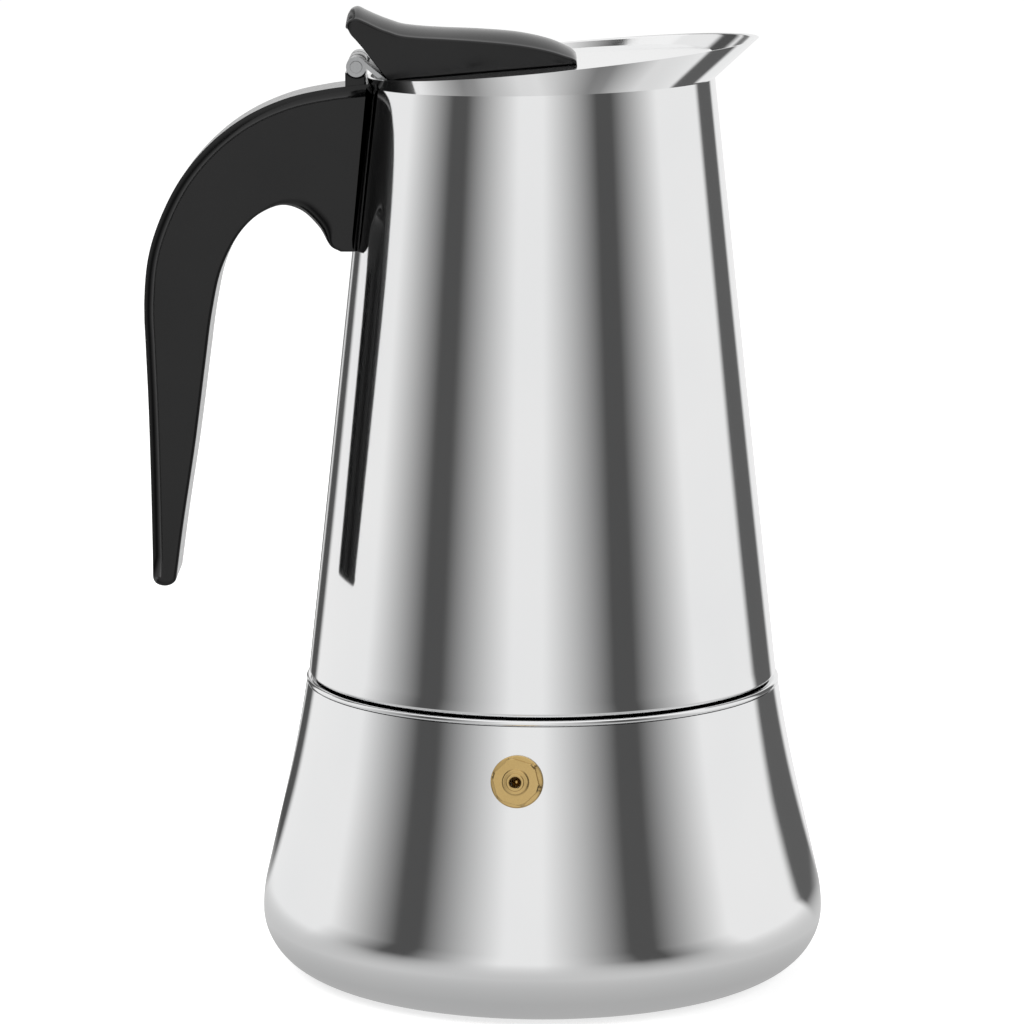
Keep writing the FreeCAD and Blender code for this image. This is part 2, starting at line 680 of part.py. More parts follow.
def bracket_form(gap):
    """Welded pad and strap of the handle bracket, grown by a gap."""
    low = bracket_low()
    middle = low + BRACKET_THICK / 2
    pad_box = box(-(pot_radius(low) + 3 * PAD_THICK), 0, PAD_HALF_WIDTH + gap,
                  middle - PAD_HEIGHT / 2 - gap, middle + PAD_HEIGHT / 2 + gap)
    pad = pad_box.common(pot_core(PAD_THICK + gap))
    strap = box(-(CREASE_RADIUS + BRACKET_LENGTH + gap), 0, BRACKET_HALF_WIDTH + gap,
                low - gap, low + BRACKET_THICK + gap)
    return pad.fuse(strap).cut(pot_core(FIT_GAP))


def arch_top():
    """Height of the underside of the handle's arch at the screw."""
    return CREASE_Z - min(drop for _, drop in HANDLE_INNER)


def screw_rod(radius, low, high):
    return Part.makeCylinder(radius, high - low, vec(-(CREASE_RADIUS + HANDLE_SCREW_BACK), 0, low))


def make_handle():
    body = handle_slab().fuse(hinge_lug())
    body = body.cut(pot_core(SEAT_GAP))
    body = body.cut(bracket_form(LOOSE_GAP))
    bracket_top = bracket_low() + BRACKET_THICK
    body = body.cut(screw_rod(HANDLE_SCREW_RADIUS + LOOSE_GAP, arch_top() - COUNTERBORE, bracket_top))
    head_room = screw_rod(HANDLE_HEAD_RADIUS + LOOSE_GAP, arch_top() - COUNTERBORE,
                          arch_top() + COUNTERBORE)
    body = body.cut(head_room)
    return body.cut(cross_bar(PIN_RADIUS + FIT_GAP, LUG_HALF_WIDTH, PIN_X, PIN_Z))


def make_handle_bracket():
    low = bracket_low()
    thread = screw_rod(HANDLE_SCREW_RADIUS + FIT_GAP, low - BRACKET_THICK, low + 2 * BRACKET_THICK)
    return bracket_form(0).cut(thread)


def make_handle_screw():
    shoulder = arch_top() + COUNTERBORE
    head = screw_rod(HANDLE_HEAD_RADIUS, shoulder - HANDLE_HEAD_THICK, shoulder)
    shank = screw_rod(HANDLE_SCREW_RADIUS, shoulder, bracket_low() + BRACKET_THICK)
    slot = box(-(CREASE_RADIUS + HANDLE_SCREW_BACK) - HANDLE_HEAD_RADIUS,
               -(CREASE_RADIUS + HANDLE_SCREW_BACK) + HANDLE_HEAD_RADIUS,
               0.4, shoulder - HANDLE_HEAD_THICK, shoulder - HANDLE_HEAD_THICK / 2)
    return head.fuse(shank).removeSplitter().cut(slot)


# ---- lid --------------------------------------------------------------------------------
def lid_frame(shape):
    """Tilt a shape built on the lid's own plane into its place over the pot."""
    placed = shape.copy()
    placed.rotate(vec(0, 0, 0), vec(0, 1, 0), -math.degrees(math.atan(LID_SLOPE)))
    placed.translate(vec(0, 0, LID_Z))
    return placed


def make_lid_plate():
    turn = LID_EDGE * (1 - math.sqrt(0.5))
    edge = LID_RADIUS - LID_EDGE
    plate = spun([
        line((0, 0), (edge, 0)),
        arc((edge, 0), (LID_RADIUS - turn, -turn), (LID_RADIUS, -LID_EDGE)),
        line((LID_RADIUS, -LID_EDGE), (LID_RADIUS, -LID_SKIRT)),
        line((LID_RADIUS, -LID_SKIRT), (LID_RADIUS - LID_THICK, -LID_SKIRT)),
        line((LID_RADIUS - LID_THICK, -LID_SKIRT), (LID_RADIUS - LID_THICK, -LID_THICK)),
        line((LID_RADIUS - LID_THICK, -LID_THICK), (0, -LID_THICK)),
        line((0, -LID_THICK), (0, 0)),
    ])
    plate.translate(vec(LID_SHIFT, 0, 0))
    for x in SCREW_PLACES:
        hole = Part.makeCylinder(SCREW_RADIUS + LOOSE_GAP, 3 * LID_THICK, vec(x, 0, -2 * LID_THICK))
        plate = plate.cut(hole)
    return lid_frame(plate)


def make_hinge_strap():
    lean_x, lean_z = math.sin(STRAP_LEAN), math.cos(STRAP_LEAN)
    reach_out = KNUCKLE_RADIUS - STRAP_INSET
    outer = (PIN_X + reach_out * lean_x, PIN_Z + reach_out * lean_z)
    inner = (outer[0] - STRAP_THICK * lean_x, outer[1] - STRAP_THICK * lean_z)
    fall = math.tan(STRAP_LEAN)

    def landing(start, height):
        x = (start[1] + fall * start[0] - LID_Z - height) / (LID_SLOPE + fall)
        return x, lid_top(x) + height

    toe_high = (TOE_X, lid_top(TOE_X) + STRAP_FOOT)
    toe_low = (TOE_X, lid_top(TOE_X))
    outline = (outer, landing(outer, STRAP_FOOT), toe_high, toe_low, landing(inner, 0), inner, outer)
    corners = [vec(x, -HINGE_HALF_WIDTH, z) for x, z in outline]
    plate = Part.Face(Part.makePolygon(corners)).extrude(vec(0, 2 * HINGE_HALF_WIDTH, 0))
    strap = plate.fuse(cross_bar(KNUCKLE_RADIUS, HINGE_HALF_WIDTH, PIN_X, PIN_Z))
    lug_room = cross_bar(KNUCKLE_RADIUS + SIDE_GAP, LUG_HALF_WIDTH + SIDE_GAP, PIN_X, PIN_Z)
    bore = cross_bar(PIN_RADIUS + RUNNING_GAP, HINGE_HALF_WIDTH, PIN_X, PIN_Z)
    return strap.cut(lug_room).cut(bore)


def make_hinge_pin():
    half = HINGE_HALF_WIDTH + PIN_HEAD
    return cross_bar(PIN_RADIUS, half, PIN_X, PIN_Z)


def knob_section(distance, foot, crest, crown):
    """Closed outline across the knob: flat foot, upright sides and a crowned top."""
    x = HEEL_X + distance
    base = lid_top(x) + foot
    side = lid_top(x) + crest
    half = KNOB_HALF_WIDTH
    corners = [vec(x, half, side), vec(x, half, base), vec(x, -half, base), vec(x, -half, side)]
    edges = [Part.LineSegment(corners[i], corners[i + 1]).toShape() for i in range(3)]
    edges.append(Part.Arc(corners[3], vec(x, 0, side + crown), corners[0]).toShape())
    return Part.Wire(edges)


def make_lid_knob():
    knob = Part.makeLoft([knob_section(*station) for station in KNOB_STATIONS], True, True)
    for x in SCREW_PLACES:
        hole = Part.makeCylinder(SCREW_RADIUS + FIT_GAP, SCREW_DEPTH + LOOSE_GAP, vec(x, 0, 0))
        knob = knob.cut(lid_frame(hole))
    return knob


def make_knob_screws():
    screws = []
    for x in SCREW_PLACES:
        shank = Part.makeCylinder(SCREW_RADIUS, SCREW_DEPTH + LID_THICK, vec(x, 0, -LID_THICK))
        low = vec(x, 0, -LID_THICK - SCREW_HEAD_THICK)
        head = Part.makeCylinder(SCREW_HEAD_RADIUS, SCREW_HEAD_THICK, low)
        screws.append(lid_frame(head.fuse(shank).removeSplitter()))
    return Part.makeCompound(screws)


PIECES = {
    "boiler_shell": make_boiler_shell,
    "neck_ring": make_neck_ring,
    "valve_body": make_valve_body,
    "valve_washer": make_valve_washer,
    "valve_nut": make_valve_nut,
    "valve_seat_ring": make_valve_seat_ring,
    "valve_spring": make_valve_spring,
    "valve_plunger": make_valve_plunger,
    "valve_seal": make_valve_seal,
    "funnel_basket": make_funnel_basket,
    "funnel_stem": make_funnel_stem,
    "funnel_screen": make_funnel_screen,
    "gasket": make_gasket,
    "filter_plate": make_filter_plate,
    "pot_shell": make_pot_shell,
    "thread_collar": make_thread_collar,
    "pot_floor": make_pot_floor,
    "column": make_column,
    "column_cap": make_column_cap,
    "handle": make_handle,
    "handle_bracket": make_handle_bracket,
    "handle_screw": make_handle_screw,
    "hinge_pin": make_hinge_pin,
    "lid_plate": make_lid_plate,
    "hinge_strap": make_hinge_strap,
    "lid_knob": make_lid_knob,
    "knob_screws": make_knob_screws,
}

os.makedirs("parts", exist_ok=True)
for name, make in PIECES.items():
    shape = make()
    shape.exportStep(f"parts/{name}.step")
    print(name, "solids", len(shape.Solids), "valid", shape.isValid(), "volume", round(shape.Volume, 1))
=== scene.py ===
import json
import math

import bpy
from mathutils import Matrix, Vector


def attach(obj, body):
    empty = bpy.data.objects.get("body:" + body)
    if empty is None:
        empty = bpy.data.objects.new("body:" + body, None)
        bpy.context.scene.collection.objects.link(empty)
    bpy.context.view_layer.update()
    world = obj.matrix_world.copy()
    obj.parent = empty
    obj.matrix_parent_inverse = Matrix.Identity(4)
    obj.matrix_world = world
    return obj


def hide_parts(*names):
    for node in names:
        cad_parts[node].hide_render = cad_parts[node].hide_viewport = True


# Looks of the moka pot: polished shells, moulded black parts and the brass valve are modelled
# here over their CAD nodes; everything else keeps its CAD mesh and gets a material.
# Lengths are in millimetres in the tables and helpers, and metres on the objects.

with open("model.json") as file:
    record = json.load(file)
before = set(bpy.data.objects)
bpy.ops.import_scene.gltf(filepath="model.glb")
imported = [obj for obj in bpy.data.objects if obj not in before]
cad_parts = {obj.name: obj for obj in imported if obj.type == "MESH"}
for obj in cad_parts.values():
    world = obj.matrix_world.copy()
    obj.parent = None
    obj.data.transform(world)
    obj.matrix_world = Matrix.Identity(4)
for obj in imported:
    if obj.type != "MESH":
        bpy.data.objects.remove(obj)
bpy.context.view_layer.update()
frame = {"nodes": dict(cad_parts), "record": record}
MM = 0.001

# ---- sizes shared with the CAD pieces (mm) ------------------------------------------------
WIDEST, CORNER_W, CORNER_H = 59.0, 13.5, 12.4
BELLY_R = 30.3
BODY_SLOPE, MOUTH_SLOPE = math.radians(12.85), math.radians(8.5)
FLARE_START, BOILER_TOP, BOILER_WALL = 40.0, 61.1, 1.0
SEAM_Z, CREASE_Z, FOOT_R, CREASE_R = 62.7, 186.5, 49.05, 35.65
CREASE_SLOPE = 0.024
POT_WALL, FOOT_LIP = 0.8, 3.7
SPOUT, REAR, SIDE = 44.5, 36.2, 37.6
RIM_Z, RIM_SLOPE = 191.15, 0.099
LID_Z, LID_SLOPE, LID_R, LID_SHIFT = 190.0, 0.085, 34.6, 0.8
PIN_X, PIN_Z, KNUCKLE_R = -38.0, 190.15, 2.06
VALVE_Z, VALVE_R = 50.3, 51.334
VALVE_LEAN, VALVE_TURN, HEX_TURN = (math.radians(a) for a in (10.719, 5.65, 44.5))
SEGMENTS = 256


# ---- mesh helpers -----------------------------------------------------------------------
def make_piece(name, verts, faces, body, material, nodes, sharp=30):
    mesh = bpy.data.meshes.new(name)
    mesh.from_pydata([Vector(v) * MM for v in verts], [], faces)
    mesh.validate()
    mesh.shade_smooth()
    mesh.set_sharp_from_angle(angle=math.radians(sharp))
    piece = bpy.data.objects.new(name, mesh)
    bpy.context.scene.collection.objects.link(piece)
    mesh.materials.append(material)
    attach(piece, body)
    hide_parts(*nodes)


def bend(centre, radius, start, end, steps):
    """Points (r, z) along an arc; angles in degrees, 0 towards +r and 90 towards +z."""
    points = []
    for k in range(steps + 1):
        a = math.radians(start + (end - start) * k / steps)
        points.append((centre[0] + radius * math.cos(a), centre[1] + radius * math.sin(a)))
    return points


def straight(a, b, steps):
    return [(a[0] + (b[0] - a[0]) * k / steps, a[1] + (b[1] - a[1]) * k / steps)
            for k in range(steps + 1)]


def grid_faces(rows, columns, closed_rows, first=0):
    """Quads between rows of points that each run round a closed ring."""
    faces = []
    last = rows if closed_rows else rows - 1
    for i in range(last):
        a, b = i * columns, (i + 1) % rows * columns
        for j in range(columns):
            k = (j + 1) % columns
            faces.append((first + a + j, first + a + k, first + b + k, first + b + j))
    return faces


def lathe(profile, closed, place=None):
    """Surface of revolution about Z; an open profile starts and ends on the axis."""
    verts = []
    ring = profile if closed else profile[1:-1]
    for r, z in ring:
        for j in range(SEGMENTS):
            a = 2 * math.pi * j / SEGMENTS
            verts.append((r * math.cos(a), r * math.sin(a), z))
    faces = grid_faces(len(ring), SEGMENTS, closed)
    if not closed:
        low, high = len(verts), len(verts) + 1
        verts += [(0, 0, profile[0][1]), (0, 0, profile[-1][1])]
        end = (len(ring) - 1) * SEGMENTS
        for j in range(SEGMENTS):
            k = (j + 1) % SEGMENTS
            faces.append((low, k, j))
            faces.append((high, end + j, end + k))
    if place:
        verts = [place(v) for v in verts]
    return verts, faces


def spline(points, steps):
    """Smooth curve through points of any dimension (centripetal Catmull-Rom)."""
    pts = [Vector(p) for p in points]
    pts = [2 * pts[0] - pts[1]] + pts + [2 * pts[-1] - pts[-2]]
    out = []
    for i in range(1, len(pts) - 2):
        p0, p1, p2, p3 = pts[i - 1:i + 3]
        t1 = (p1 - p0).length ** 0.5
        t2 = t1 + (p2 - p1).length ** 0.5
        t3 = t2 + (p3 - p2).length ** 0.5
        for k in range(steps):
            t = t1 + (t2 - t1) * k / steps
            a1 = p0.lerp(p1, t / t1)
            a2 = p1.lerp(p2, (t - t1) / (t2 - t1))
            a3 = p2.lerp(p3, (t - t2) / (t3 - t2))
            b1 = a1.lerp(a2, t / t2)
            b2 = a2.lerp(a3, (t - t1) / (t3 - t1))
            out.append(tuple(b1.lerp(b2, (t - t1) / (t2 - t1))))
    out.append(tuple(pts[-2]))
    return out


# ---- materials --------------------------------------------------------------------------
def new_material(name):
    material = bpy.data.materials.new(name)
    material.use_nodes = True
    nodes = material.node_tree.nodes
    return material, nodes, material.node_tree.links, nodes["Principled BSDF"]


def noise(nodes, links, scale, detail, stretch=(1, 1, 1)):
    place = nodes.new("ShaderNodeTexCoord")
    mapping = nodes.new("ShaderNodeMapping")
    mapping.inputs["Scale"].default_value = stretch
    links.new(place.outputs["Object"], mapping.inputs["Vector"])
    texture = nodes.new("ShaderNodeTexNoise")
    texture.inputs["Scale"].default_value = scale
    texture.inputs["Detail"].default_value = detail
    links.new(mapping.outputs["Vector"], texture.inputs["Vector"])
    return texture.outputs["Fac"]


def spread(nodes, links, source, low, high, socket):
    """Map a 0-1 texture value to a range and feed it to a socket."""
    scale = nodes.new("ShaderNodeMapRange")
    scale.inputs["From Min"].default_value = 0.3
    scale.inputs["From Max"].default_value = 0.7
    scale.inputs["To Min"].default_value = low
    scale.inputs["To Max"].default_value = high
    links.new(source, scale.inputs["Value"])
    links.new(scale.outputs["Result"], socket)


def tint(nodes, links, source, dark, light, socket):
    ramp = nodes.new("ShaderNodeValToRGB")
    ramp.color_ramp.elements[0].position = 0.3
    ramp.color_ramp.elements[1].position = 0.7
    ramp.color_ramp.elements[0].color = (*dark, 1)
    ramp.color_ramp.elements[1].color = (*light, 1)
    links.new(source, ramp.inputs["Fac"])
    links.new(ramp.outputs["Color"], socket)


def bump(nodes, links, source, strength, distance, shader):
    relief = nodes.new("ShaderNodeBump")
    relief.inputs["Strength"].default_value = strength
    relief.inputs["Distance"].default_value = distance
    links.new(source, relief.inputs["Height"])
    links.new(relief.outputs["Normal"], shader.inputs["Normal"])


def metal(name, dark, light, rough, grain_scale, grain_stretch, relief):
    material, nodes, links, shader = new_material(name)
    shader.inputs["Metallic"].default_value = 1.0
    tint(nodes, links, noise(nodes, links, 18, 3), dark, light, shader.inputs["Base Color"])
    grain = noise(nodes, links, grain_scale, 4, grain_stretch)
    spread(nodes, links, grain, rough[0], rough[1], shader.inputs["Roughness"])
    bump(nodes, links, grain, relief, 0.00002, shader)
    return material


def soft_solid(name, dark, light, rough, specular, grain_scale, relief):
    material, nodes, links, shader = new_material(name)
    shader.inputs["Specular IOR Level"].default_value = specular
    tint(nodes, links, noise(nodes, links, 60, 3), dark, light, shader.inputs["Base Color"])
    grain = noise(nodes, links, grain_scale, 3)
    spread(nodes, links, grain, rough[0], rough[1], shader.inputs["Roughness"])
    bump(nodes, links, grain, relief, 0.00004, shader)
    return material


polished = metal("polished_steel", (0.86, 0.865, 0.87), (0.90, 0.90, 0.90), (0.06, 0.085), 900,
                 (1, 1, 0.05), 0.02)
plain = metal("plain_steel", (0.36, 0.365, 0.37), (0.47, 0.475, 0.48), (0.2, 0.3), 1200, (1, 1, 0.1), 0.15)
wire = metal("spring_steel", (0.50, 0.50, 0.52), (0.60, 0.60, 0.61), (0.25, 0.4), 2500, (1, 1, 1), 0.2)
brass = metal("valve_brass", (0.56, 0.39, 0.15), (0.65, 0.46, 0.20), (0.18, 0.27), 1800, (1, 0.05, 1), 0.1)
bakelite = soft_solid("black_bakelite", (0.0015, 0.0015, 0.0016), (0.003, 0.003, 0.0031), (0.13, 0.2),
                      0.37, 1500, 0.06)
silicone = soft_solid("white_silicone", (0.74, 0.74, 0.71), (0.82, 0.82, 0.79), (0.45, 0.6), 0.4, 900, 0.2)

FINISH = {
    "plain_steel": plain, "polished_steel": polished, "spring_steel": wire,
    "valve_brass": brass, "black_bakelite": bakelite, "white_silicone": silicone,
}
UNPOLISHED = ("hinge_strap", "hinge_pin")        # in the polished slot, but shown plain
for entry in frame["record"]["subparts"]:
    node = frame["nodes"][entry["node"]]
    node.data.materials.clear()
    dull = entry["node"] in UNPOLISHED
    node.data.materials.append(plain if dull else FINISH[entry["material_slot"]])


# ---- boiler -----------------------------------------------------------------------------
def boiler_profile(inset):
    """Outer outline of the boiler from the base to the mouth, moved inwards by inset."""
    base_r = WIDEST - CORNER_W
    half_w, half_h = CORNER_W - inset, CORNER_H - inset
    points = straight((0, inset), (base_r, inset), 24)[:-1]
    for k in range(33):
        a = math.pi / 2 * k / 32
        points.append((base_r + half_w * math.sin(a), CORNER_H - half_h * math.cos(a)))
    slope = math.degrees(BODY_SLOPE)
    points += bend((WIDEST - BELLY_R, CORNER_H), BELLY_R - inset, 0, slope, 10)[1:]
    flare = (BOILER_TOP - FLARE_START) / (math.sin(BODY_SLOPE) - math.sin(MOUTH_SLOPE))
    belly_r = WIDEST - BELLY_R * (1 - math.cos(BODY_SLOPE))
    belly_z = CORNER_H + BELLY_R * math.sin(BODY_SLOPE)
    start_r = belly_r - (FLARE_START - belly_z) * math.tan(BODY_SLOPE)
    centre = (start_r + flare * math.cos(BODY_SLOPE), FLARE_START + flare * math.sin(BODY_SLOPE))
    mouth = math.degrees(math.asin((centre[1] - BOILER_TOP) / (flare + inset)))
    curve = bend(centre, flare + inset, 180 + slope, 180 + mouth, 24)
    points += straight(points[-1], curve[0], 12)[1:-1] + curve
    return points


def build_boiler():
    outer = boiler_profile(0)
    inner = boiler_profile(BOILER_WALL)
    verts, faces = lathe(outer + inner[::-1], False)
    make_piece("boiler_skin", verts, faces, "boiler", polished, ["boiler_shell"])


def build_neck():
    mouth = boiler_profile(0)[-1][0]
    bore, root, crest, top = 41.9, 42.9, 44.4, 73.5
    lip, low, high = mouth + 0.08, BOILER_TOP, BOILER_TOP + 1.2
    profile = [(bore, low), (lip - 0.6, low)]
    profile += bend((lip - 0.6, low + 0.6), 0.6, -90, 90, 12)
    profile += [(root, high), (root, top - 0.2), (root - 0.2, top), (bore, top)]
    verts, faces = lathe(profile, True)
    first = len(verts)
    turns, start, pitch = 2.0, low + 4.1, 3.5
    steps = 240
    for k in range(steps + 1):
        a = 2 * math.pi * turns * k / steps
        z = start + pitch * turns * k / steps
        fade = min(1, k / 8, (steps - k) / 8)
        tip = root + (crest - root) * fade
        for r, dz in ((root - 0.1, -0.65), (tip, -0.4), (tip, 0.4), (root - 0.1, 0.65)):
            verts.append((r * math.cos(a), r * math.sin(a), z + dz))
    for k in range(steps):
        for j in range(3):
            a = first + 4 * k + j
            faces.append((a, a + 4, a + 5, a + 1))
    make_piece("neck_skin", verts, faces, "boiler", polished, ["neck_ring"])


# ---- pot --------------------------------------------------------------------------------
def cone_r(z):
    return FOOT_R - (FOOT_R - CREASE_R) * (z - SEAM_Z) / (CREASE_Z - SEAM_Z)


def crease_point(angle, inset):
    c, s = math.cos(angle), math.sin(angle)
    taper = CREASE_SLOPE * (FOOT_R - CREASE_R) / (CREASE_Z - SEAM_Z)
    reach = CREASE_R / (1 + taper if c > 0 else 1 - taper) - inset
    return Vector((reach * c, (CREASE_R - inset) * s, CREASE_Z + CREASE_SLOPE * reach * c))


def wall_point(angle, share, inset, low):
    """Point on the cone, share 0 at height low and 1 at the crease."""
    r = cone_r(low) - inset
    return Vector((r * math.cos(angle), r * math.sin(angle), low)).lerp(crease_point(angle, inset), share)


def collar_point(angle, share, inset):
    """Point on the collar, share 0 at the crease and 1 at the rim."""
    c, s = math.cos(angle), math.sin(angle)
    rim_x = ((SPOUT if c > 0 else REAR) - inset) * c
    high = Vector((rim_x, (SIDE - inset) * s, RIM_Z + RIM_SLOPE * rim_x))
    return crease_point(angle, inset).lerp(high, share)


def build_pot():
    rows = []
    foot, floor = SEAM_Z + 1.0, SEAM_Z + POT_WALL
    edge = cone_r(foot)
    angles = [2 * math.pi * j / SEGMENTS for j in range(SEGMENTS)]

    def ring(r, z):
        rows.append([(r * math.cos(a), r * math.sin(a), z) for a in angles])

    for r, z in straight((FOOT_R - FOOT_LIP, SEAM_Z), (edge - 1.0, SEAM_Z), 3)[:-1]:
        ring(r, z)
    for r, z in bend((edge - 1.0, foot), 1.0, -90, 0, 12):
        ring(r, z)
    for k in range(1, 48):
        rows.append([wall_point(a, k / 48, 0, foot) for a in angles])
    for k in range(25):
        rows.append([collar_point(a, k / 24, 0) for a in angles])
    for k in range(1, 20):
        turn = math.pi * k / 20
        share = 1.0 + 0.03 * math.sin(turn) - 0.03 * (turn > math.pi / 2)
        inset = POT_WALL * (1 - math.cos(turn)) / 2
        rows.append([collar_point(a, min(share, 1.0), inset) for a in angles])
    for k in range(24, -1, -1):
        rows.append([collar_point(a, k / 24 * 0.97, POT_WALL) for a in angles])
    for k in range(47, -1, -1):
        rows.append([wall_point(a, k / 48, POT_WALL, floor) for a in angles])
    ring(FOOT_R - FOOT_LIP, floor)
    verts = [tuple(v) for row in rows for v in row]
    faces = grid_faces(len(rows), SEGMENTS, True)
    make_piece("pot_skin", verts, faces, "pot", polished, ["pot_shell"], 12)


# ---- lid --------------------------------------------------------------------------------
def on_lid(v):
    """Place a point given on the lid's own plane."""
    tilt = math.atan(LID_SLOPE)
    x, y, z = v
    return (x * math.cos(tilt) - z * math.sin(tilt), y, LID_Z + x * math.sin(tilt) + z * math.cos(tilt))


def lid_top(x):
    return LID_Z + LID_SLOPE * x


def build_lid():
    edge, skirt, thick = LID_R - 0.8, -2.0, 0.9
    profile = straight((0, 0), (edge, 0), 20)[:-1]
    profile += bend((edge, -0.8), 0.8, 90, 0, 8)
    profile += [(LID_R, skirt + 0.2), (LID_R - 0.2, skirt), (LID_R - thick, skirt)]
    profile += [(LID_R - thick, -thick), (0, -thick)]
    verts, faces = lathe(profile, False, lambda v: on_lid((v[0] + LID_SHIFT, v[1], v[2])))
    faces = [f[::-1] for f in faces]
    make_piece("lid_skin", verts, faces, "lid", polished, ["lid_plate"])


# ---- moulded black parts ----------------------------------------------------------------
def outward(points):
    """Unit normals of a closed outline that runs clockwise seen from -Y."""
    normals = []
    count = len(points)
    for i in range(count):
        a, b = points[i - 1], points[(i + 1) % count]
        d = Vector((b[0] - a[0], b[1] - a[1]))
        d.normalize()
        normals.append((-d[1], d[0]))
    return normals


def slab(points, bevels, half_width, steps=6, across=10):
    """Solid of constant width along Y. Each point has an edge size and a share of hollow edge:
    0 rounds the long edge, 1 cuts a hollow quarter round into it."""
    normals = outward(points)
    rings = []
    for side in (-1, 1):
        turn = []
        for k in range(steps + 1):
            a = math.pi / 2 * k / steps
            ring = []
            for (x, z), (nx, nz), (b, hollow) in zip(points, normals, bevels):
                inset = b * ((1 - math.sin(a)) * (1 - hollow) + math.cos(a) * hollow)
                drop = b * ((1 - math.cos(a)) * (1 - hollow) + math.sin(a) * hollow)
                ring.append((x - nx * inset, side * (half_width - drop), z - nz * inset))
            turn.append(ring)
        rings.append(turn)
    front, back = rings[0], rings[1][::-1]
    middle = []
    for k in range(1, across):
        share = k / across
        middle.append([tuple(Vector(p).lerp(Vector(q), share)) for p, q in zip(front[-1], back[0])])
    stack = front + middle + back
    verts = [v for ring in stack for v in ring]
    count = len(points)
    faces = [f[::-1] for f in grid_faces(len(stack), count, False)]
    faces.append(tuple(range(count)))
    faces.append(tuple(range(len(verts) - 1, len(verts) - 1 - count, -1)))
    return verts, faces


def behind(distance, drop):
    return -(CREASE_R + distance), CREASE_Z - drop


HANDLE_OUTER = ((0, 0.1), (8.4, 1.1), (16.8, 3.0), (25.1, 6.7), (32.2, 12.0), (38.3, 19.0), (42.7, 27.1),
                (45.5, 35.6), (46.5, 45.5), (46.3, 54.0), (45.9, 66.0), (45.6, 82.0), (45.4, 102.4))
HANDLE_INNER = ((40.4, 102.4), (38.8, 91.0), (36.1, 74.0), (33.8, 57.0), (32.3, 46.5), (30.2, 37.6),
                (26.2, 30.1), (22.0, 26.3), (17.7, 24.9), (13.8, 26.2), (10.2, 29.7), (7.8, 33.3),
                (5.8, 34.4))
COVE, SEAT_EDGE, HANDLE_BACK = 2.3, 1.2, -82.15
HANDLE_HALF_WIDTH, FOOT_ROUND = 9.5, 1.9


def smoothed(values, reach):
    """Running mean over a closed list of tuples."""
    count, width = len(values), 2 * reach + 1
    return [tuple(sum(values[(i + k) % count][j] for k in range(-reach, reach + 1)) / width for j in (0, 1))
            for i in range(count)]


def build_handle():
    outer = spline([behind(*p) for p in HANDLE_OUTER], 10)
    inner = spline([behind(*p) for p in HANDLE_INNER], 8)
    foot_c = ((outer[-1][0] + inner[0][0]) / 2, outer[-1][1])
    foot_r = (inner[0][0] - outer[-1][0]) / 2
    foot = bend(foot_c, 1, 180, 360, 14)[1:-1]
    foot = [(foot_c[0] + (x - foot_c[0]) * foot_r, foot_c[1] + (z - foot_c[1]) * FOOT_ROUND)
            for x, z in foot]
    heel_z = inner[-1][1]
    heel_x = -(cone_r(heel_z) - SEAT_EDGE)
    heel = straight(inner[-1], (heel_x, heel_z), 6)[1:]
    seat = straight(heel[-1], (-(CREASE_R - SEAT_EDGE), outer[0][1]), 40)[1:]
    lead = straight(seat[-1], outer[0], 3)[1:-1]
    points = outer + foot + inner + heel + seat + lead
    bevels = []
    for i, (x, z) in enumerate(points):
        place = i - len(outer)
        if place < 0:
            bevels.append((COVE, 1.0))
        elif place < len(foot):
            bevels.append((1.0, 0.0))
        elif place < len(foot) + len(inner):
            share = max(0.0, min(1.0, (x + CREASE_R + 21.0) / 7.0))
            fade = max(0.0, min(1.0, (z - (CREASE_Z - 33.0)) / 3.0))
            bevels.append((0.7 + 2.6 * share * fade, 0.0))
        elif place < len(foot) + len(inner) + len(heel):
            bevels.append((0.6, 0.0))
        elif place < len(points) - len(outer) - len(lead):
            bevels.append((SEAT_EDGE, 0.0))
        else:
            bevels.append((COVE, 1.0))
    bevels = smoothed(bevels, 2)
    verts, faces = slab(points[::-1], bevels[::-1], HANDLE_HALF_WIDTH, 8)
    fitted = []
    for x, y, z in verts:
        r = cone_r(z) + 0.06 if z < CREASE_Z - 1 else CREASE_R + 0.2 + 0.25 * (z - CREASE_Z + 1)
        fitted.append((max(HANDLE_BACK, min(x, -math.sqrt(r * r - y * y))), y, z))
    make_piece("handle_grip", fitted, faces, "pot", bakelite, ["handle"], 35)


def build_lug():
    """Eye between the lid's knuckles, on a step of the handle that runs under them."""
    base, front, round_edge = 185.6, PIN_X + 1.7, (0.3, 0.0)
    eye_half_width, step_half_width, knuckle_gap = 4.6, 7.0, 0.4
    eye = [(PIN_X - KNUCKLE_R, base)] + bend((PIN_X, PIN_Z), KNUCKLE_R, 180, -34, 28) + [(front, base)]
    verts, faces = slab(eye, [round_edge] * len(eye), eye_half_width, 4, 2)
    rear, top = PIN_X - 2.4, PIN_Z - 1.5
    hollow = bend((PIN_X, PIN_Z), KNUCKLE_R + knuckle_gap, 217.6, 313.7, 14)
    step = [(rear, base), (rear, top)] + hollow + [(front, base)]
    more, more_faces = slab(step, [round_edge] * len(step), step_half_width, 4, 2)
    faces += [tuple(i + len(verts) for i in face) for face in more_faces]
    verts += more
    make_piece("handle_lug", verts, faces, "pot", bakelite, ["handle"], 35)


HEEL_X = -31.6
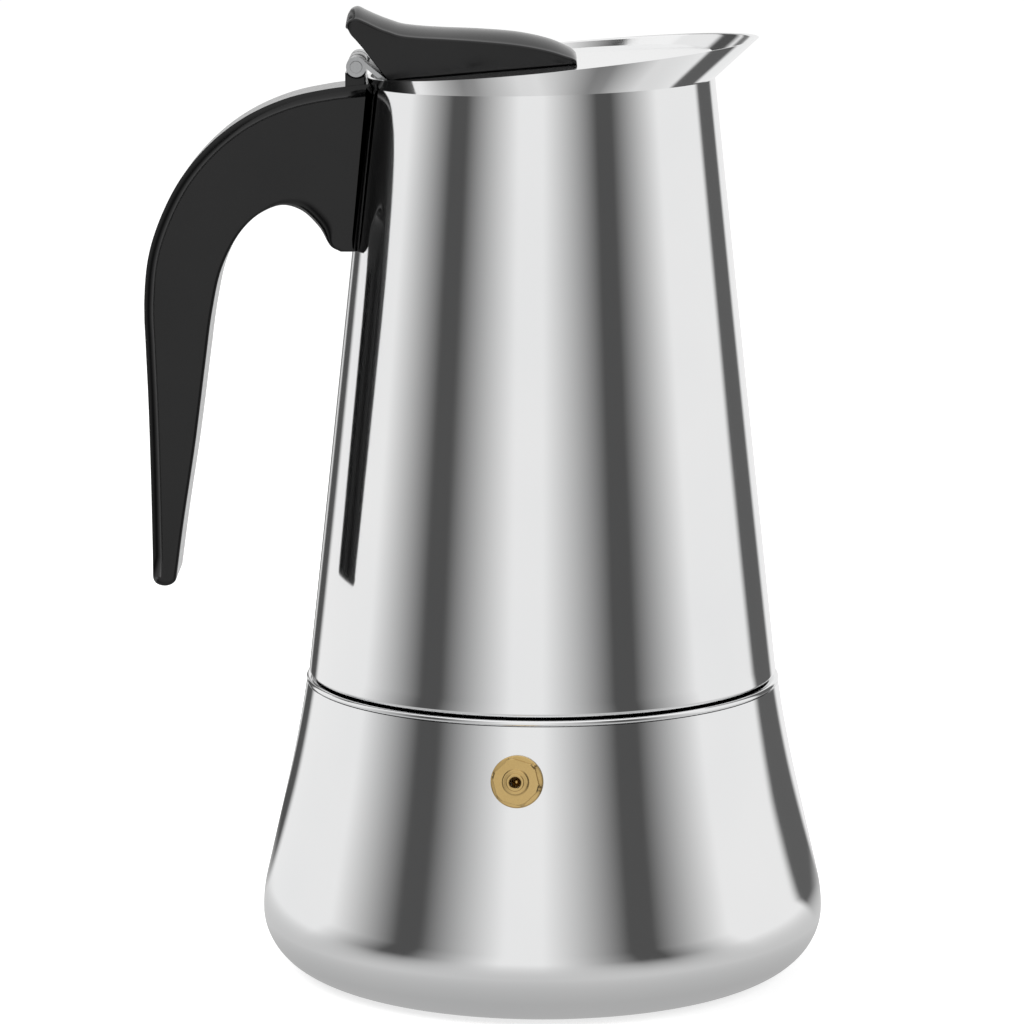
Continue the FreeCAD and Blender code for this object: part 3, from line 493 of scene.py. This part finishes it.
# distance in front of the heel, foot, crest and crown above the lid, half width
KNOB = (
    (-8.6, 11.45, 11.75, 0.7, 8.0), (-8.45, 11.3, 12.2, 1.2, 8.9), (-8.1, 11.1, 12.65, 1.5, 9.35),
    (-7.5, 10.0, 13.0, 1.8, 9.55), (-6.4, 8.7, 13.2, 1.85, 9.6), (-4.6, 6.4, 12.4, 1.7, 9.6),
    (-3.0, 4.1, 11.5, 1.75, 9.6), (-1.3, 1.8, 10.6, 1.8, 9.6), (0.3, 0.02, 9.9, 1.8, 9.6),
    (2.5, 0.02, 9.0, 1.8, 9.6), (6.5, 0.02, 8.2, 1.75, 9.6), (10.9, 0.02, 7.6, 1.7, 9.6),
    (18.9, 0.02, 6.4, 1.9, 9.6), (27.0, 0.02, 4.9, 2.0, 9.6), (33.1, 0.02, 3.2, 1.8, 9.6),
    (36.4, 0.02, 1.9, 1.45, 9.6), (37.8, 0.02, 1.3, 1.1, 9.5), (38.45, 0.02, 0.8, 0.7, 9.2),
    (38.6, 0.02, 0.5, 0.4, 8.9),
)


def build_knob():
    rings = []
    for distance, foot, crest, crown, half in spline(KNOB, 6):
        x = HEEL_X + distance
        base = lid_top(x)
        foot, crest = base + foot, base + crest
        r = min(0.75, (crest - foot) * 0.45)
        ring = [(x, -half + 0.25, foot), (x, -half, foot + min(0.25, r * 0.5)), (x, -half, crest - r)]
        for k in range(1, 7):
            a = math.pi / 2 * k / 6
            ring.append((x, -half + r * (1 - math.cos(a)), crest - r + r * math.sin(a)))
        for k in range(1, 24):
            y = (-half + r) * (1 - k / 12)
            ring.append((x, y, crest + crown * (1 - (y / (half - r)) ** 2)))
        ring += [(x, -y, z) for x, y, z in ring[:9][::-1]]
        rings.append(ring)
    count = len(rings[0])
    verts = [v for ring in rings for v in ring]
    faces = grid_faces(len(rings), count, False)
    faces.append(tuple(range(count - 1, -1, -1)))
    faces.append(tuple(range(len(verts) - count, len(verts))))
    make_piece("lid_lever", verts, faces, "lid", bakelite, ["lid_knob"], 35)


# ---- valve ------------------------------------------------------------------------------
def on_valve(v):
    """Place a point given on the valve's own axis, which leaves the wall near -Y."""
    x, y, z = v
    c, s = math.cos(VALVE_LEAN), math.sin(VALVE_LEAN)
    x, y, z = x, -VALVE_R - z * c + y * s, VALVE_Z + z * s + y * c
    c, s = math.cos(VALVE_TURN), math.sin(VALVE_TURN)
    return (x * c + y * s, -x * s + y * c, z)


def build_valve():
    """Round flange, six-sided nut and bored boss; nut rows are marked with their corner radius."""
    profile = [(1.05, 4.3, 0), (1.15, 4.5, 0), (1.3, 4.56, 0), (1.65, 4.56, 0), (1.75, 4.5, 0),
               (1.8, 4.38, 0), (2.35, 4.3, 0), (2.5, 4.15, 0), (2.54, 3.5, 0), (2.75, 3.42, 0),
               (4.0, 3.42, 0), (4.28, 3.42, 4.5), (4.35, 3.3, 4.75), (4.35, 3.0, 5.0), (4.35, 1.35, 5.0),
               (5.05, 1.27, 0), (5.25, 1.12, 0), (5.3, 0.9, 0), (5.3, 0.08, 0), (3.5, 0.08, 0),
               (3.5, -8.2, 0), (2.4, -8.2, 0), (2.4, 2.58, 0), (1.05, 2.58, 0)]
    verts = []
    for r, z, corner in profile:
        for j in range(SEGMENTS):
            a = 2 * math.pi * j / SEGMENTS
            turn = (a - math.radians(30) - HEX_TURN + math.pi / 6) % (math.pi / 3) - math.pi / 6
            radius = min(r / math.cos(turn), corner) if corner else r
            verts.append(on_valve((radius * math.cos(a), radius * math.sin(a), z)))
    faces = [f[::-1] for f in grid_faces(len(profile), SEGMENTS, True)]
    make_piece("valve_cap", verts, faces, "boiler", brass, ["valve_body"], 20)


def build_plunger():
    """Brass pin that lifts in the valve, ending inside the nut."""
    profile = [(0, -6.6), (2.1, -6.6), (2.1, -5.8), (0.97, -5.8), (0.97, 0.7), (0, 2.38)]
    verts, faces = lathe(profile, False, on_valve)
    make_piece("valve_stem", verts, faces, "valve_pin", brass, ["valve_plunger"], 30)


build_boiler()
build_neck()
build_pot()
build_lid()
build_handle()
build_lug()
build_knob()
build_valve()
build_plunger()

# ---- stage, light and camera --------------------------------------------------------------
CAMERA_PITCH = math.radians(9.9125)
CAMERA_DISTANCE, CAMERA_HEIGHT = 1.00766, 0.27237
CAMERA_LENS, SENSOR_WIDTH, CAMERA_SHIFT = 171.9, 36, -0.029785
TENT_RADIUS, TENT_HEIGHT, TENT_GROUND = 2.2, 2.4, -0.01
STEEL_MIRROR = 0.88                              # share of light the polished steel returns
PALE_REACH, BAND_REACH = 0.10, 0.26              # ground seen in reflections: plain, then banded
# painted contact shadow: the ground seen in reflections darkens towards the pot, from the pale level down
# to the contact level
CONTACT_SHADOW_REACH, CONTACT_SHADOW_LEVEL, PALE_LEVEL = 0.058, 0.70, 0.80
FLOOR_SIZE, PAPER_COLOUR, PAPER_GLOW = 6.0, 0.8, 0.55
AMBIENT_LEVEL = 0.55                             # world light on rough surfaces; 1 where it is seen

# the light tent is pale cloth with dark cards hung in it; each card has its middle, half width and
# fade in degrees from the camera's side towards the spout, and a brightness
CLOTH_LEVEL = 0.9
CARDS = ((-165, 2, 3, 0.45), (-150, 5, 5, 0.3), (-55, 5, 35, 0.3), (40, 5, 35, 0.3), (135, 10, 5, 0.35))


def linear(value):
    return value / 12.92 if value <= 0.04045 else ((value + 0.055) / 1.055) ** 2.4


def tent_levels():
    """Stops (direction, brightness) all the way round: cloth, with each card fading in and out."""
    stops = [(-180, CLOTH_LEVEL)]
    for middle, half, fade, level in CARDS:
        stops += [(middle - half - fade, CLOTH_LEVEL), (middle - half, level)]
        stops += [(middle + half, level), (middle + half + fade, CLOTH_LEVEL)]
    return stops + [(180, CLOTH_LEVEL)]


def bands(nodes, links):
    """Object coordinates, and the tent's brightness by direction round the pot."""
    place = nodes.new("ShaderNodeTexCoord")
    split = nodes.new("ShaderNodeSeparateXYZ")
    links.new(place.outputs["Object"], split.inputs["Vector"])
    around = nodes.new("ShaderNodeMath")
    around.operation = "ARCTAN2"
    links.new(split.outputs["X"], around.inputs[0])
    flip = nodes.new("ShaderNodeMath")
    flip.operation = "MULTIPLY"
    flip.inputs[1].default_value = -1
    links.new(split.outputs["Y"], flip.inputs[0])
    links.new(flip.outputs[0], around.inputs[1])
    share = nodes.new("ShaderNodeMath")
    share.operation = "MULTIPLY_ADD"
    share.inputs[1].default_value = 1 / (2 * math.pi)
    share.inputs[2].default_value = 0.5
    links.new(around.outputs[0], share.inputs[0])
    wrap = nodes.new("ShaderNodeMath")
    wrap.operation = "FRACT"
    links.new(share.outputs[0], wrap.inputs[0])
    ramp = nodes.new("ShaderNodeValToRGB")
    links.new(wrap.outputs[0], ramp.inputs["Fac"])
    stops = ramp.color_ramp.elements
    while len(stops) > 1:
        stops.remove(stops[-1])
    for i, (angle, value) in enumerate(tent_levels()):
        stop = stops[0] if i == 0 else stops.new((angle + 180) / 360)
        stop.position = (angle + 180) / 360
        level = linear(value) / STEEL_MIRROR
        stop.color = (level, level, level, 1)
    return place.outputs["Object"], ramp.outputs["Color"]


def tent_piece(name, verts, faces, material):
    """A glowing sheet that only reflections see."""
    mesh = bpy.data.meshes.new(name)
    mesh.from_pydata(verts, [], faces)
    mesh.materials.append(material)
    piece = bpy.data.objects.new(name, mesh)
    bpy.context.scene.collection.objects.link(piece)
    piece.visible_camera = False
    piece.visible_diffuse = False
    piece.visible_shadow = False
    piece.visible_transmission = False


def glow_material(name):
    material = bpy.data.materials.new(name)
    material.use_nodes = True
    nodes, links = material.node_tree.nodes, material.node_tree.links
    nodes.clear()
    glow = nodes.new("ShaderNodeEmission")
    out = nodes.new("ShaderNodeOutputMaterial")
    links.new(glow.outputs["Emission"], out.inputs["Surface"])
    return material, nodes, links, glow


def build_tent():
    """Ring of pale cloth with its dark cards, round the pot."""
    verts, faces = [], []
    for j in range(SEGMENTS):
        a = 2 * math.pi * j / SEGMENTS
        x, y = TENT_RADIUS * math.cos(a), TENT_RADIUS * math.sin(a)
        verts += [(x, y, TENT_GROUND), (x, y, TENT_HEIGHT)]
    for j in range(SEGMENTS):
        a, b = 2 * j, 2 * ((j + 1) % SEGMENTS)
        faces.append((a, b, b + 1, a + 1))
    material, nodes, links, glow = glow_material("tent_panels")
    panel_colour = bands(nodes, links)[1]
    links.new(panel_colour, glow.inputs["Color"])
    tent_piece("tent", verts, faces, material)


def build_tent_ground():
    """Ground disc that only reflections see: painted contact shadow, darker under the pot, then plain just
    round it, banded further out.
    """
    verts = [(0, 0, TENT_GROUND)]
    faces = []
    for j in range(SEGMENTS):
        a = 2 * math.pi * j / SEGMENTS
        verts.append((TENT_RADIUS * math.cos(a), TENT_RADIUS * math.sin(a), TENT_GROUND))
        faces.append((0, 1 + j, 1 + (j + 1) % SEGMENTS))
    material, nodes, links, glow = glow_material("tent_ground")
    place, band_colour = bands(nodes, links)
    flat = nodes.new("ShaderNodeVectorMath")
    flat.operation = "MULTIPLY"
    flat.inputs[1].default_value = (1, 1, 0)
    links.new(place, flat.inputs[0])
    reach = nodes.new("ShaderNodeVectorMath")
    reach.operation = "LENGTH"
    links.new(flat.outputs["Vector"], reach.inputs[0])
    # painted contact shadow: the glowing ground gets darker towards the pot
    near = nodes.new("ShaderNodeMapRange")
    near.inputs["From Min"].default_value = CONTACT_SHADOW_REACH
    near.inputs["From Max"].default_value = PALE_REACH
    near.inputs["To Min"].default_value = linear(CONTACT_SHADOW_LEVEL)
    near.inputs["To Max"].default_value = linear(PALE_LEVEL)
    links.new(reach.outputs["Value"], near.inputs["Value"])
    away = nodes.new("ShaderNodeMapRange")
    away.interpolation_type = "SMOOTHSTEP"
    away.inputs["From Min"].default_value = PALE_REACH
    away.inputs["From Max"].default_value = BAND_REACH
    links.new(reach.outputs["Value"], away.inputs["Value"])
    mix = nodes.new("ShaderNodeMix")
    mix.data_type = "RGBA"
    links.new(away.outputs["Result"], mix.inputs[0])
    links.new(near.outputs["Result"], mix.inputs[6])
    links.new(band_colour, mix.inputs[7])
    links.new(mix.outputs[2], glow.inputs["Color"])
    tent_piece("tent_ground", verts, faces, material)


def build_floor():
    mesh = bpy.data.meshes.new("floor")
    size = FLOOR_SIZE
    corners = [(-size, -size, 0), (size, -size, 0), (size, size, 0), (-size, size, 0)]
    mesh.from_pydata(corners, [], [(0, 1, 2, 3)])
    floor = bpy.data.objects.new("floor", mesh)
    bpy.context.scene.collection.objects.link(floor)
    material, nodes, links, shader = new_material("floor_paper")
    nodes.remove(shader)
    paper = nodes.new("ShaderNodeBsdfDiffuse")
    paper.inputs["Color"].default_value = (PAPER_COLOUR, PAPER_COLOUR, PAPER_COLOUR, 1)
    glow = nodes.new("ShaderNodeEmission")
    ray = nodes.new("ShaderNodeLightPath")
    lift = nodes.new("ShaderNodeMath")
    lift.operation = "MULTIPLY"
    lift.inputs[1].default_value = PAPER_GLOW
    links.new(ray.outputs["Is Camera Ray"], lift.inputs[0])
    links.new(lift.outputs[0], glow.inputs["Strength"])
    add = nodes.new("ShaderNodeAddShader")
    links.new(paper.outputs["BSDF"], add.inputs[0])
    links.new(glow.outputs["Emission"], add.inputs[1])
    links.new(add.outputs["Shader"], nodes["Material Output"].inputs["Surface"])
    mesh.materials.append(material)
    floor.visible_glossy = False


def build_world():
    world = bpy.data.worlds.new("studio")
    bpy.context.scene.world = world
    world.use_nodes = True
    nodes, links = world.node_tree.nodes, world.node_tree.links
    sky = nodes["Background"]
    sky.inputs["Color"].default_value = (1, 1, 1, 1)
    ray = nodes.new("ShaderNodeLightPath")
    seen = nodes.new("ShaderNodeMath")
    seen.operation = "MAXIMUM"
    links.new(ray.outputs["Is Camera Ray"], seen.inputs[0])
    links.new(ray.outputs["Is Glossy Ray"], seen.inputs[1])
    both = nodes.new("ShaderNodeMath")
    both.operation = "MAXIMUM"
    links.new(seen.outputs[0], both.inputs[0])
    links.new(ray.outputs["Is Transmission Ray"], both.inputs[1])
    level = nodes.new("ShaderNodeMapRange")
    level.inputs["To Min"].default_value = AMBIENT_LEVEL
    level.inputs["To Max"].default_value = 1.0
    links.new(both.outputs[0], level.inputs["Value"])
    links.new(level.outputs["Result"], sky.inputs["Strength"])


def add_lamp(name, place, size, watts):
    lamp = bpy.data.lights.new(name, "AREA")
    lamp.shape = "RECTANGLE"
    lamp.size, lamp.size_y = size
    lamp.energy = watts
    lamp_object = bpy.data.objects.new(name, lamp)
    bpy.context.scene.collection.objects.link(lamp_object)
    lamp_object.location = place
    aim = Vector((0, 0, 0.1)) - Vector(place)
    lamp_object.rotation_euler = aim.to_track_quat("-Z", "Y").to_euler()
    lamp_object.visible_glossy = False


def add_camera():
    data = bpy.data.cameras.new("camera")
    data.sensor_width = SENSOR_WIDTH
    data.lens = CAMERA_LENS
    data.shift_x = CAMERA_SHIFT
    camera = bpy.data.objects.new("camera", data)
    bpy.context.scene.collection.objects.link(camera)
    camera.location = (0, -CAMERA_DISTANCE, CAMERA_HEIGHT)
    camera.rotation_euler = (math.pi / 2 - CAMERA_PITCH, 0, 0)
    bpy.context.scene.camera = camera


build_tent()
build_tent_ground()
build_floor()
build_world()
add_lamp("key", (-0.9, -1.0, 1.3), (0.8, 0.8), 14)
add_lamp("fill", (1.1, -0.7, 0.9), (0.8, 0.8), 7)
add_lamp("top", (0, 0.3, 1.7), (1.0, 1.0), 8)
add_camera()
bpy.context.scene.view_settings.view_transform = "Standard"
